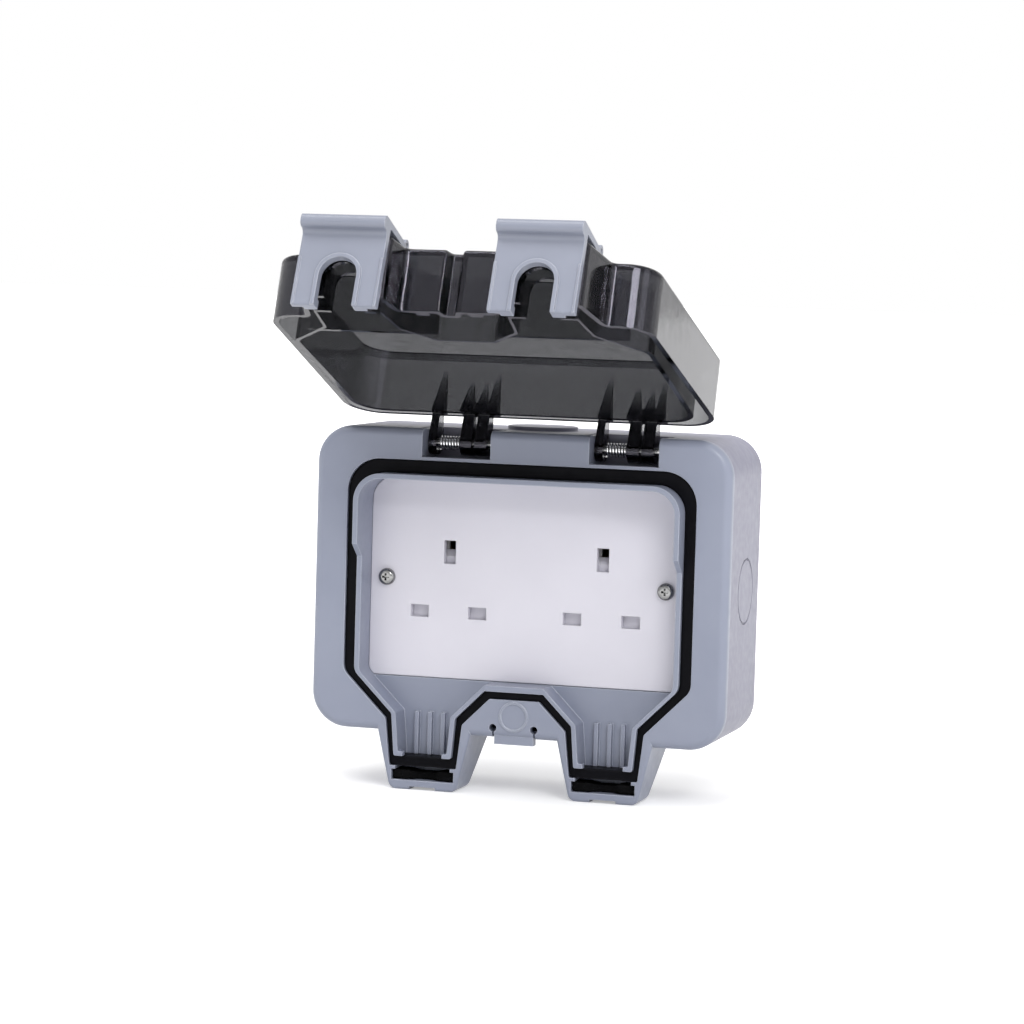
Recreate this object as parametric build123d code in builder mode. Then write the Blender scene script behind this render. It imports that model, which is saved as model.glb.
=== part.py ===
from build123d import *
import os

os.makedirs("parts", exist_ok=True)

# Outdoor weatherproof twin socket, shown with its lid open.
# X runs to the right, Z up, and the front faces -Y. The wall lies on Y = 0,
# so every depth below is a distance out from the wall.

# Enclosure
body_w = 157.0
body_h = 112.0
body_r = 13.5
face_depth = 52.0
frame_t = 4.7
edge_round = 3.0
box_wall = 2.8
back_wall = 3.0
back_round = 2.0
fit_gap = 0.3
seat_play = 0.1
press_play = 0.02
rim_land = 0.8
rim_groove = 1.0

# Socket recess, upstand and gasket groove
recess_half = 59.6
top_margin = 18.7
recess_r = 8.5
knee_up = 21.5
lip_t = 1.9
lip_low = 0.9
lip_high = 7.0
ramp_top = 13.0
ramp_bottom = 8.0
groove_w = 4.5
groove_top_w = 5.1
groove_depth = 3.6
seal_sink = 1.3

# Faceplate and its screws
plate_depth = 41.6
plate_t = 3.0
plate_up = 19.4
ledge_t = 2.5
ledge_gap = 2.6
ledge_end = 4.0
boss_gap = 1.2
screw_d = 3.5
screw_head_d = 6.3
screw_head_h = 2.2
insert_d = 5.6
insert_l = 10.0
boss_d = 10.0

# Pin layout of each outlet
outlet_side = 17.8
pin_x = 11.1
pin_z = -12.0
earth_z = 10.2
pin_slot_w = 6.9
pin_slot_h = 4.5
earth_slot_w = 4.5
earth_slot_h = 8.6

# Cable legs
leg_x = 34.35
leg_l = 21.4
leg_root = 6.0
leg_top_half = 17.8
leg_foot_half = 12.75
leg_back_top = 27.0
leg_back_foot = 16.0
leg_wall = 3.5
leg_edge = 1.2
channel_half = 10.65
channel_foot_half = 9.4
channel_up = 14.0
channel_depth = 9.8
channel_floor_t = 2.0
leg_lip = 1.6
leg_groove = 2.5
strip_w = 3.8
trapezoid_half = 11.1
trapezoid_up = 19.2
trapezoid_lip = 2.2
trapezoid_groove = 2.9
rib_pitch = 5.06
rib_w = 1.5
rib_h = 2.2
rib_l = 15.8
tab_t = 2.0
mouth_half = 7.6
nub_t = 1.2
nub_l = 1.4
foam_half = 12.0
cable_r = 6.0
foot_notch_half = 5.0
foot_notch = 1.2
catch_sink = 1.2

# Middle of the frame's lower edge
ring_up = 8.0
ring_r = 5.45
ring_line = 0.7
ring_h = 0.5
pry_half = 7.4
pry_drop = 2.4
drain_r = 1.4
drain_up = 3.6
slit_w = 0.8

# Hinge
axis_behind = 10.2
axis_below = 5.5
bay_w = 26.0
bay_pitch = 63.2
bay_shift = 6.9
bay_drop = 10.5
bay_depth = 15.7
ear_t = 2.2
hinge_pin_d = 3.0
hinge_play = 0.05
knuckle_r = 4.4
open_angle = 110.0
knuckle_spans = [(0.3, 3.3), (12.4, 16.8), (17.9, 22.4)]
fins = [(2.7, 4.8, 18.0), (13.6, 5.2, 13.6), (18.9, 4.8, 12.4), (23.3, 4.4, 17.0)]
fin_h = 4.5
fin_tip = 0.8
coil_start = 3.5
coil_l = 8.5
coil_wire = 0.7
coil_turns = 7

# Lid
lid_half = 70.5
lid_free_half = 68.0
lid_below = 3.6
lid_over = 0.5
lid_leg_up = 0.2
lid_mid_up = 12.4
lid_leg_step = 4.0
lid_r = 13.0
lid_h = 22.6
lid_wall = 2.0
lid_plate_t = 2.2
lid_round = 1.5
rim_gap = 0.7
rib_low = 1.3
rib_high = 1.7
cross_wall_z = -40.2
cross_wall_t = 1.5
arch_h = 12.5
vee_half = 3.0
vee_depth = 4.0
lid_boss_x = 9.5
lid_boss_r = 2.4
lid_boss_h = 2.5

# Latch clips
latch_w = 30.0
latch_t = 2.6
latch_front_t = 2.4
latch_gap = 0.6
latch_reach = 6.0
latch_arch_w = 13.4
latch_arch_l = 17.6
latch_lip_drop = 7.0
latch_lip_t = 4.7
latch_pin_d = 2.0
latch_pivot_up = 17.9
latch_pivot_out = 2.6
latch_hub_r = 2.2
latch_release = 4.0
barb_h = 1.4
barb_l = 3.0
barb_half = 2.2
barb_x = 8.9
edge_rib_w = 0.9
edge_rib_h = 0.5
arch_rim_w = 1.4
arch_rim_h = 0.8
lug_t = 2.5
lug_r = 2.4
lug_inset = 3.0

# Socket base, contacts and shutters
base_w = 94.0
base_top = 24.0
base_bottom = -28.0
base_wall = 2.0
base_back = 18.0
tray_depth = 3.4
deck_t = 1.7
post_side = 5.5
post_top = 18.5
post_low = -10.0
post_d = 6.0
base_screw_d = 2.9
strip_t = 1.2
bus_w = 6.0
contact_reach = 4.4
jaw_l = 9.0
jaw_w = 6.4
terminal_w = 8.0
terminal_l = 9.0
terminal_screw_d = 3.0
small_head_d = 5.2
small_head_h = 1.6
live_drop = 9.0
neutral_rise = 11.0
earth_rise = 8.0
shutter_bar_w = 30.4
shutter_bar_top = -9.2
shutter_bar_bottom = -16.6
shutter_stem_w = 7.0
shutter_stem_top = 10.9
shutter_play = 0.3
shutter_spring_d = 2.4
shutter_spring_wire = 0.4
shutter_spring_turns = 5

# Wall side
knockout_d = 24.5
knockout_line = 0.8
knockout_sink = 0.5
entry_depth = 23.5
top_boss_d = 26.0
top_boss_h = 1.4
wall_hole_x = 50.0
wall_hole_z = 38.0
wall_hole_d = 5.0

# Derived places across
outlet_x = base_w / 2 - outlet_side
post_x = base_w / 2 - post_side
screw_x = base_w / 2 + boss_gap + boss_d / 2
ledge_side = recess_half - base_w / 2 - ledge_gap

# Derived heights
recess_top = body_h / 2 - top_margin
recess_knee = knee_up - body_h / 2
plate_bottom = plate_up - body_h / 2
trapezoid_top = trapezoid_up - body_h / 2
ring_z = ring_up - body_h / 2
drain_z = drain_up - body_h / 2
axis_z = body_h / 2 - axis_below
bay_floor = body_h / 2 - bay_drop
leg_bottom = -body_h / 2 - leg_l
channel_end = leg_bottom + channel_up
strip_top = channel_end - leg_lip
foam_top = strip_top - strip_w - nub_t
foam_bottom = leg_bottom + leg_wall
lid_top = body_h / 2 - lid_below
lid_bottom = -body_h / 2 - lid_over
lid_leg_bottom = leg_bottom + lid_leg_up
lid_mid_bottom = leg_bottom + lid_mid_up
latch_pivot_z = leg_bottom + latch_pivot_up

# Derived depths
seam_depth = face_depth - frame_t
plate_back = plate_depth - plate_t
ledge_back = plate_back - ledge_t
channel_floor = face_depth - channel_depth
axis_depth = face_depth - axis_behind
bay_back = face_depth - bay_depth
groove_floor = face_depth - groove_depth
seal_face = face_depth - seal_sink
rim_depth = face_depth + rim_gap
lid_front = rim_depth + lid_h
lid_inside = lid_front - lid_plate_t
deck_front = plate_back - tray_depth
deck_back = deck_front - deck_t
pivot_depth = lid_front + latch_pivot_out
latch_inside = lid_front + latch_pivot_out - latch_hub_r
latch_front = latch_inside + latch_front_t
latch_top = leg_bottom - latch_gap
latch_low = latch_top - latch_t
latch_back = face_depth - latch_reach
latch_arch_end = latch_back + latch_arch_l
barb_depth = latch_back + barb_l
bay_lefts = [bay_shift - bay_pitch / 2 - bay_w / 2, bay_shift + bay_pitch / 2 - bay_w / 2]
sides = {"left": -1, "right": 1}


def level_value(inner, lip, groove, level):
    """Go from the recess wall (0) over the upstand's outside (1) to the groove's outside (2)."""
    if level <= 1:
        return inner + lip * level
    return inner + lip + groove * (level - 1)


def loop_points(level):
    """Right half of the seal outline, from the top down round the leg to the middle."""
    half = level_value(recess_half, lip_t, groove_w, level)
    top = level_value(recess_top, lip_t, groove_top_w, level)
    head = level_value(channel_half, leg_lip, leg_groove, level)
    foot = level_value(channel_foot_half, leg_lip, leg_groove - 0.6, level)
    end = level_value(channel_end, -leg_lip, -strip_w, level)
    inner_x = level_value(trapezoid_half, 0.1, -1.8, level)
    inner_z = level_value(trapezoid_top, -trapezoid_lip, -trapezoid_groove, level)
    knee = recess_knee
    return [
        (half, top),
        (half, knee),
        (leg_x + head, knee - (half - leg_x - head)),
        (leg_x + foot, end),
        (leg_x - foot, end),
        (leg_x - head, inner_z - (leg_x - head - inner_x)),
        (inner_x, inner_z),
    ]


def seal_loop(level, plane, floor=None, shrink=0.0):
    """Closed seal outline at one level, cut off below floor and shrunk where asked."""
    right = loop_points(level)
    left = [(-x, z) for x, z in reversed(right)]
    corner = recess_r + lip_t * level
    rounds = [corner, 4.0 + level, 1.5, 0.8, 0.8, 1.5, 0.8]
    with BuildSketch(plane) as sketch:
        with BuildLine():
            FilletPolyline(*right, *left, radius=rounds + rounds[::-1], close=True)
        make_face()
        if floor is not None:
            with Locations((0, floor + body_h)):
                Rectangle(2 * body_w, 2 * body_h, mode=Mode.INTERSECT)
        if shrink:
            offset(amount=-shrink)
    return sketch.sketch


def front(depth):
    """Plane parallel to the wall, with X and Z as its own axes."""
    return Plane.XZ.offset(depth)


def leg_outline(center, plane):
    """Tapered front outline of one cable leg."""
    root = -body_h / 2 + leg_root
    with BuildSketch(plane) as sketch:
        with BuildLine():
            FilletPolyline(
                (center - leg_top_half, root),
                (center + leg_top_half, root),
                (center + leg_top_half, -body_h / 2),
                (center + leg_foot_half, leg_bottom),
                (center - leg_foot_half, leg_bottom),
                (center - leg_top_half, -body_h / 2),
                radius=[0, 0, 1.5, 3.0, 3.0, 1.5],
                close=True,
            )
        make_face()
    return sketch.sketch


def box_between(x0, x1, depth0, depth1, z0, z1, mode=Mode.ADD):
    """Rectangular block given by its limits."""
    with Locations(((x0 + x1) / 2, -(depth0 + depth1) / 2, (z0 + z1) / 2)):
        Box(x1 - x0, depth1 - depth0, z1 - z0, mode=mode)


# Back box. Its rim is notched at the top for the hinge bays and slotted below for the legs.
notch_low = bay_floor - 1.2 - fit_gap
notch_grow = ear_t + fit_gap
notch_back = bay_back - fit_gap


def box_outline(inset, notched, plane):
    """Box outline moved inwards by inset, with or without the hinge notches."""
    with BuildSketch(plane) as sketch:
        RectangleRounded(body_w - 2 * inset, body_h - 2 * inset, body_r - inset)
        if notched:
            for left in bay_lefts:
                wide = bay_w + 2 * (notch_grow + inset)
                tall = body_h / 2 - notch_low + inset + 1
                with Locations((left + bay_w / 2, notch_low - inset + tall / 2)):
                    Rectangle(wide, tall, mode=Mode.SUBTRACT)
    return sketch.sketch


def leg_slots(depth0, depth1):
    """Cut the lower wall open where the cable channels pass it."""
    slot = channel_half + leg_lip + fit_gap
    low = -body_h / 2 - 1
    high = low + box_wall + 2
    for side in (-1, 1):
        middle = side * leg_x
        box_between(middle - slot, middle + slot, depth0, depth1, low, high, Mode.SUBTRACT)


with BuildPart() as back_box:
    extrude(box_outline(0, False, front(0)), amount=seam_depth)
    fillet(back_box.faces().sort_by(Axis.Y)[-1].edges(), radius=back_round)
    notched_l = seam_depth - notch_back
    extrude(box_outline(0, False, front(notch_back)), amount=notched_l, mode=Mode.SUBTRACT)
    extrude(box_outline(0, True, front(notch_back)), amount=notched_l)
    cavity_step = notch_back - box_wall
    deep_cavity = box_outline(box_wall, False, front(back_wall))
    extrude(deep_cavity, amount=cavity_step - back_wall, mode=Mode.SUBTRACT)
    rim_cavity = box_outline(box_wall, True, front(cavity_step))
    extrude(rim_cavity, amount=seam_depth - cavity_step, mode=Mode.SUBTRACT)
    # Bosses for the faceplate screws
    with BuildSketch(front(back_wall)):
        with Locations((-screw_x, 0), (screw_x, 0)):
            Circle(boss_d / 2)
    extrude(amount=ledge_back - back_wall)
    with BuildSketch(front(ledge_back)):
        with Locations((-screw_x, 0), (screw_x, 0)):
            Circle(insert_d / 2)
    extrude(amount=-(ledge_back - back_wall), mode=Mode.SUBTRACT)
    # Round conduit boss on top and knock-out rings on the sides and underneath
    with BuildSketch(Plane.XY.offset(body_h / 2)):
        with Locations((0, -entry_depth)):
            Circle(top_boss_d / 2)
    extrude(amount=top_boss_h)
    fillet(back_box.faces().sort_by(Axis.Z)[-1].edges(), radius=top_boss_h / 3)
    for ring_plane in (
        Plane((body_w / 2, -entry_depth, 0), z_dir=(1, 0, 0)),
        Plane((-body_w / 2, -entry_depth, 0), z_dir=(-1, 0, 0)),
        Plane((0, -entry_depth, -body_h / 2), z_dir=(0, 0, -1)),
    ):
        with BuildSketch(ring_plane):
            Circle(knockout_d / 2)
            Circle(knockout_d / 2 - knockout_line, mode=Mode.SUBTRACT)
        extrude(amount=-knockout_sink, mode=Mode.SUBTRACT)
    # Wall fixing holes
    with BuildSketch(front(0)):
        with GridLocations(2 * wall_hole_x, 2 * wall_hole_z, 2, 2):
            Circle(wall_hole_d / 2)
    extrude(amount=back_wall, mode=Mode.SUBTRACT)
    # Groove in the rim for the box seal
    groove_start = front(seam_depth - rim_groove)
    extrude(box_outline(rim_land, True, groove_start), amount=rim_groove, mode=Mode.SUBTRACT)
    extrude(box_outline(box_wall - rim_land, True, groove_start), amount=rim_groove)
    extrude(box_outline(box_wall, True, groove_start), amount=rim_groove, mode=Mode.SUBTRACT)
    # Slots in the lower wall through which the cable channels pass
    leg_slots(channel_floor - channel_floor_t - fit_gap, seam_depth)
back_box.part.label = "back_box"
export_step(back_box.part, "parts/back_box.step")

# Seal strip that fills the rim groove between the leg slots
with BuildPart() as box_seal:
    seal_edge = rim_land + press_play
    extrude(box_outline(seal_edge, True, groove_start), amount=rim_groove)
    extrude(box_outline(box_wall - seal_edge, True, groove_start), amount=rim_groove, mode=Mode.SUBTRACT)
    leg_slots(seam_depth - 2, seam_depth + 1)
box_seal.part.label = "box_seal"
export_step(box_seal.part, "parts/box_seal.step")

# Upstand round the recess: high at the top, ramped down to a low lip round the legs
with BuildPart() as upstand:
    extrude(seal_loop(1, front(face_depth - 1)), amount=lip_high + 1)
    extrude(seal_loop(0, front(face_depth - 1)), amount=lip_high + 1, mode=Mode.SUBTRACT)
    low = -(face_depth + lip_low)
    high = -(face_depth + lip_high)
    with BuildSketch(Plane.YZ):
        Polygon(
            (low, leg_bottom),
            (low, ramp_bottom),
            (high, ramp_top),
            (high - 5, ramp_top),
            (high - 5, leg_bottom),
            align=None,
        )
    extrude(amount=body_w, both=True, mode=Mode.SUBTRACT)

# Cable legs: deep where they leave the box, shallower at the foot
legs = []
for side in (-1, 1):
    with BuildPart() as leg:
        with BuildSketch(Plane.YZ.offset(side * leg_x)):
            Polygon(
                (-face_depth, -body_h / 2 + leg_root),
                (-face_depth, leg_bottom),
                (-(face_depth - leg_back_foot), leg_bottom),
                (-(face_depth - leg_back_top), -body_h / 2 - fit_gap),
                (-seam_depth, -body_h / 2 - fit_gap),
                (-seam_depth, -body_h / 2 + leg_root),
                align=None,
            )
        extrude(amount=leg_top_half + 2, both=True)
        extrude(leg_outline(side * leg_x, front(0)), amount=face_depth, mode=Mode.INTERSECT)
        leg_edges = leg.faces().sort_by(Axis.Y)[0].outer_wire().edges()
        root_edge = -body_h / 2 + leg_root - 1
        fillet(leg_edges.filter_by_position(Axis.Z, leg_bottom - 1, root_edge), radius=leg_edge)
    legs.append(leg.part)

# Front frame
with BuildPart() as front_frame:
    with BuildSketch(front(seam_depth)):
        RectangleRounded(body_w, body_h, body_r)
    extrude(amount=frame_t)
    fillet(front_frame.faces().sort_by(Axis.Y)[0].outer_wire().edges(), radius=edge_round)
    add(legs)
    # Tab in the middle of the lower edge, by which the frame is prised off
    pry_bottom = -body_h / 2 - pry_drop
    pry_front = face_depth - edge_round / 3
    pry_top = -body_h / 2 + edge_round
    box_between(-pry_half, pry_half, seam_depth, pry_front, pry_bottom, pry_top)
    # Tub behind the face: deep behind the plate, shallower under the channels
    floor_back = channel_floor - channel_floor_t
    extrude(seal_loop(1, front(floor_back)), amount=face_depth - floor_back)
    tub_floor = plate_bottom - lip_t
    extrude(seal_loop(1, front(ledge_back), tub_floor), amount=floor_back - ledge_back)
    add(upstand.part)
    # Gasket groove round the upstand, then the hollow inside it
    extrude(seal_loop(2, front(groove_floor)), amount=groove_depth, mode=Mode.SUBTRACT)
    extrude(seal_loop(1, front(groove_floor)), amount=groove_depth)
    extrude(seal_loop(0, front(channel_floor)), amount=channel_depth + lip_high, mode=Mode.SUBTRACT)
    plate_seat = seal_loop(0, front(plate_back), plate_bottom - seat_play)
    extrude(plate_seat, amount=face_depth - plate_back, mode=Mode.SUBTRACT)
    # Opening in the ledge behind the plate, and the screw holes beside it
    with BuildSketch(front(ledge_back)):
        opening_h = recess_top - plate_bottom - 2 * ledge_end
        with Locations((0, (recess_top + plate_bottom) / 2)):
            RectangleRounded(2 * (recess_half - ledge_side), opening_h, 3)
        with Locations((-screw_x, 0), (screw_x, 0)):
            Circle(screw_d / 2 + fit_gap)
    extrude(amount=ledge_t, mode=Mode.SUBTRACT)
    for side in (-1, 1):
        middle = side * leg_x
        # Mouth of the channel between two short tabs, then the seat of the gasket's cross strip
        mouth_top = channel_end + 1
        tab_back = face_depth - tab_t
        for half, mouth_front in ((mouth_half, face_depth + lip_high), (channel_foot_half, tab_back)):
            left = middle - half
            right = middle + half
            box_between(left, right, channel_floor, mouth_front, strip_top, mouth_top, Mode.SUBTRACT)
        left = middle - foam_half + nub_l
        right = middle + foam_half - nub_l
        seat_bottom = foam_top - nub_t
        box_between(left, right, channel_floor, face_depth, seat_bottom, strip_top, Mode.SUBTRACT)
        # Pocket of the foam block below the two nubs
        left = middle - foam_half
        right = middle + foam_half
        box_between(left, right, channel_floor, face_depth, foam_bottom, foam_top, Mode.SUBTRACT)
        # Ribs on the channel floor
        for place in (-1, 0, 1):
            rib_left = middle + place * rib_pitch - rib_w / 2
            rib_root = channel_floor - channel_floor_t / 2
            rib_crest = channel_floor + rib_h
            box_between(rib_left, rib_left + rib_w, rib_root, rib_crest, strip_top, strip_top + rib_l)
        # Catch pockets for the latch barbs and the notch between them
        under = leg_bottom - 1
        for hand in (-1, 1):
            left = middle + hand * barb_x - barb_half - fit_gap
            right = middle + hand * barb_x + barb_half + fit_gap
            pocket_front = barb_depth + 2 * fit_gap
            box_between(
                left, right, latch_back - 1, pocket_front, under, leg_bottom + catch_sink, Mode.SUBTRACT
            )
        left = middle - foot_notch_half
        right = middle + foot_notch_half
        foot_back = face_depth - leg_back_foot - 1
        box_between(
            left, right, foot_back, face_depth + 1, under, leg_bottom + foot_notch, Mode.SUBTRACT
        )
    # Ring above the tab, and a drain hole with a slit at each end of the tab
    with BuildSketch(front(face_depth)):
        with Locations((0, ring_z)):
            Circle(ring_r)
            Circle(ring_r - ring_line, mode=Mode.SUBTRACT)
    extrude(amount=ring_h)
    with BuildSketch(front(face_depth)):
        for side in (-1, 1):
            with Locations((side * (pry_half + slit_w / 2), drain_z)):
                Circle(drain_r)
            with Locations((side * (pry_half + slit_w / 2), (drain_z + pry_bottom) / 2)):
                Rectangle(slit_w, drain_z - pry_bottom)
    extrude(amount=-frame_t, mode=Mode.SUBTRACT)
    # Hinge bays, open to the front and the top, with ears that hold the pins
    for left in bay_lefts:
        box_between(left, left + bay_w, bay_back, face_depth + 1, bay_floor, body_h, Mode.SUBTRACT)
        for start in (left - ear_t, left + bay_w):
            box_between(start, start + ear_t, bay_back, seam_depth, bay_floor - 1.2, body_h / 2 - fit_gap)
    with BuildSketch(Plane.YZ):
        with Locations((-axis_depth, axis_z)):
            Circle(hinge_pin_d / 2 + press_play)
    extrude(amount=body_w, both=True, mode=Mode.SUBTRACT)
front_frame.part.label = "front_frame"
export_step(front_frame.part, "parts/front_frame.step")

# Gasket loop in the groove, with a taller strip across each channel mouth
with BuildPart() as lid_seal:
    extrude(seal_loop(1.98, front(groove_floor)), amount=seal_face - groove_floor)
    extrude(seal_loop(1.02, front(groove_floor)), amount=seal_face - groove_floor, mode=Mode.SUBTRACT)
    for side in (-1, 1):
        middle = side * leg_x
        seat = foam_half - nub_l - seat_play
        strip_low = strip_top - strip_w + seat_play
        strip_high = strip_top - seat_play
        box_between(middle - seat, middle + seat, channel_floor, groove_floor, strip_low, strip_high)
lid_seal.part.label = "lid_seal"
export_step(lid_seal.part, "parts/lid_seal.step")

# Foam blocks in the leg ends, hollowed a little where the cable lies
for name, side in sides.items():
    middle = side * leg_x
    block_top = foam_top - seat_play
    block_bottom = foam_bottom + seat_play
    half = foam_half - seat_play
    with BuildPart() as cable_seal:
        box_between(middle - half, middle + half, channel_floor, seal_face, block_bottom, block_top)
        with BuildSketch(Plane.XY.offset(block_bottom)):
            with Locations((middle, -(seal_face + 2 * cable_r / 3))):
                Circle(cable_r)
        extrude(amount=block_top - block_bottom, mode=Mode.SUBTRACT)
    cable_seal.part.label = "cable_seal_" + name
    export_step(cable_seal.part, "parts/cable_seal_" + name + ".step")


def pin_slots(plane):
    """Pin openings of both outlets: two flat slots with an upright one above."""
    with BuildSketch(plane) as sketch:
        for side in (-1, 1):
            middle = side * outlet_x
            with Locations((middle - pin_x, pin_z), (middle + pin_x, pin_z)):
                Rectangle(pin_slot_w, pin_slot_h)
            with Locations((middle, earth_z)):
                Rectangle(earth_slot_w, earth_slot_h)
    return sketch.sketch


# Faceplate with its rear posts
post_places = [(-post_x, post_top), (post_x, post_top), (0, post_low)]
with BuildPart() as faceplate:
    extrude(seal_loop(0, front(plate_back), plate_bottom, seat_play), amount=plate_t)
    with BuildSketch(front(deck_front)):
        with Locations(*post_places):
            Circle(post_d / 2)
    extrude(amount=tray_depth)
    with BuildSketch(front(deck_front)):
        with Locations(*post_places):
            Circle(base_screw_d / 2 + press_play)
    extrude(amount=tray_depth + plate_t / 2, mode=Mode.SUBTRACT)
    extrude(pin_slots(front(plate_back)), amount=plate_t, mode=Mode.SUBTRACT)
    with BuildSketch(front(plate_back)):
        with Locations((-screw_x, 0), (screw_x, 0)):
            Circle(screw_d / 2 + fit_gap)
    extrude(amount=plate_t, mode=Mode.SUBTRACT)
faceplate.part.label = "faceplate"
export_step(faceplate.part, "parts/faceplate.step")

# Two pan head screws with cross recesses
screw_end = ledge_back - insert_l - 4
with BuildPart() as faceplate_screws:
    for side in (-1, 1):
        with BuildSketch(front(screw_end)):
            with Locations((side * screw_x, 0)):
                Circle(screw_d / 2)
        extrude(amount=plate_depth - screw_end)
        with BuildSketch(front(plate_depth)):
            with Locations((side * screw_x, 0)):
                Circle(screw_head_d / 2)
        extrude(amount=screw_head_h)
    head_tops = faceplate_screws.faces().sort_by(Axis.Y)[:2]
    fillet(head_tops.edges(), radius=screw_head_h * 0.4)
    with BuildSketch(front(plate_depth + screw_head_h)):
        with Locations((-screw_x, 0), (screw_x, 0)):
            Rectangle(screw_head_d * 0.55, 0.9)
            Rectangle(0.9, screw_head_d * 0.55)
    extrude(amount=-screw_head_h * 0.6, mode=Mode.SUBTRACT)
faceplate_screws.part.label = "faceplate_screws"
export_step(faceplate_screws.part, "parts/faceplate_screws.step")

# Threaded inserts in the box bosses
with BuildPart() as screw_inserts:
    with BuildSketch(front(ledge_back)):
        with Locations((-screw_x, 0), (screw_x, 0)):
            Circle(insert_d / 2 - press_play)
            Circle(screw_d / 2 + press_play, mode=Mode.SUBTRACT)
    extrude(amount=-insert_l)
screw_inserts.part.label = "screw_inserts"
export_step(screw_inserts.part, "parts/screw_inserts.step")

# Socket base: a tray for the shutters in front of the deck, contact space behind it
base_middle = (base_top + base_bottom) / 2
base_h = base_top - base_bottom
with BuildPart() as socket_base:
    for depth, amount, inset, mode in (
        (base_back, plate_back - base_back, 0, Mode.ADD),
        (deck_front, tray_depth, base_wall, Mode.SUBTRACT),
        (base_back, deck_back - base_back, base_wall, Mode.SUBTRACT),
    ):
        with BuildSketch(front(depth)):
            with Locations((0, base_middle)):
                RectangleRounded(base_w - 2 * inset, base_h - 2 * inset, 4 - inset)
        extrude(amount=amount, mode=mode)
    extrude(pin_slots(front(deck_back)), amount=deck_t, mode=Mode.SUBTRACT)
    with BuildSketch(front(deck_back)):
        with Locations(*post_places):
            Circle(base_screw_d / 2 + seat_play)
    extrude(amount=deck_t, mode=Mode.SUBTRACT)
    # Guides beside each shutter
    guide_gap = shutter_bar_w / 2 + shutter_play
    for side in (-1, 1):
        for hand in (-1, 1):
            near = side * outlet_x + hand * guide_gap
            far = near + hand * 1.2
            box_between(
                min(near, far), max(near, far), deck_front, plate_back,
                base_bottom + base_wall - 0.5, shutter_bar_top,
            )
socket_base.part.label = "socket_base"
export_step(socket_base.part, "parts/socket_base.step")

# Screws that hold the base to the plate's posts
with BuildPart() as base_screws:
    with BuildSketch(front(deck_back - small_head_h)):
        with Locations(*post_places):
            Circle(small_head_d / 2)
    extrude(amount=small_head_h)
    with BuildSketch(front(deck_back)):
        with Locations(*post_places):
            Circle(base_screw_d / 2)
    extrude(amount=deck_t + tray_depth)
base_screws.part.label = "base_screws"
export_step(base_screws.part, "parts/base_screws.step")


def busbar(pin_places, strip_z, tall, terminal_x):
    """Contact strip across both outlets, with sprung jaws behind each pin and a terminal block."""
    strip_back = deck_back - strip_t
    slot_w = earth_slot_w if tall else pin_slot_w
    slot_h = earth_slot_h if tall else pin_slot_h
    reach = contact_reach
    with BuildPart() as bar:
        ends = [place[0] for place in pin_places]
        strip_low = strip_z - bus_w / 2
        strip_high = strip_z + bus_w / 2
        box_between(min(ends) - reach, max(ends) + reach, strip_back, deck_back, strip_low, strip_high)
        for x, z in pin_places:
            over = slot_h / 2 + 1.5 * strip_t
            low = min(strip_z, z - over)
            high = max(strip_z, z + over)
            box_between(x - reach, x + reach, strip_back, deck_back, low, high)
            with BuildSketch(front(strip_back)):
                with Locations((x, z)):
                    Rectangle(slot_w, slot_h)
            extrude(amount=strip_t, mode=Mode.SUBTRACT)
            # A leaf on each side of the pin
            with BuildSketch(front(strip_back)):
                leaf_w = strip_t if tall else jaw_w
                leaf_h = jaw_w if tall else strip_t
                step_x = (slot_w + strip_t) / 2 if tall else 0
                step_z = 0 if tall else (slot_h + strip_t) / 2
                with Locations((x - step_x, z - step_z), (x + step_x, z + step_z)):
                    Rectangle(leaf_w, leaf_h)
            extrude(amount=-jaw_l)
        left = terminal_x - terminal_w / 2
        right = terminal_x + terminal_w / 2
        box_between(left, right, strip_back - terminal_l, strip_back, strip_low, strip_high)
        with BuildSketch(front(strip_back - terminal_l)):
            with Locations((terminal_x, strip_z)):
                Circle(terminal_screw_d / 2 + press_play)
        extrude(amount=terminal_l - 1.5, mode=Mode.SUBTRACT)
    return bar


live_z = pin_z - live_drop
neutral_z = pin_z + neutral_rise
earth_strip_z = earth_z + earth_rise
live_places = [(-outlet_x + pin_x, pin_z), (outlet_x + pin_x, pin_z)]
neutral_places = [(-outlet_x - pin_x, pin_z), (outlet_x - pin_x, pin_z)]
earth_places = [(-outlet_x, earth_z), (outlet_x, earth_z)]
terminals = [(pin_x, live_z), (-pin_x, neutral_z), (0, earth_strip_z)]
live_busbar = busbar(live_places, live_z, False, terminals[0][0])
live_busbar.part.label = "live_busbar"
export_step(live_busbar.part, "parts/live_busbar.step")
neutral_busbar = busbar(neutral_places, neutral_z, False, terminals[1][0])
neutral_busbar.part.label = "neutral_busbar"
export_step(neutral_busbar.part, "parts/neutral_busbar.step")
earth_busbar = busbar(earth_places, earth_strip_z, True, terminals[2][0])
earth_busbar.part.label = "earth_busbar"
export_step(earth_busbar.part, "parts/earth_busbar.step")

# Terminal screws
terminal_back = deck_back - strip_t - terminal_l
with BuildPart() as terminal_screws:
    with BuildSketch(front(terminal_back)):
        with Locations(*terminals):
            Circle(terminal_screw_d / 2)
    extrude(amount=terminal_l / 2)
    with BuildSketch(front(terminal_back)):
        with Locations(*terminals):
            Circle(small_head_d / 2)
    extrude(amount=-small_head_h)
    with BuildSketch(front(terminal_back - small_head_h)):
        with Locations(*terminals):
            Rectangle(small_head_d, small_head_h / 2)
    extrude(amount=small_head_h / 2, mode=Mode.SUBTRACT)
terminal_screws.part.label = "terminal_screws"
export_step(terminal_screws.part, "parts/terminal_screws.step")

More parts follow.
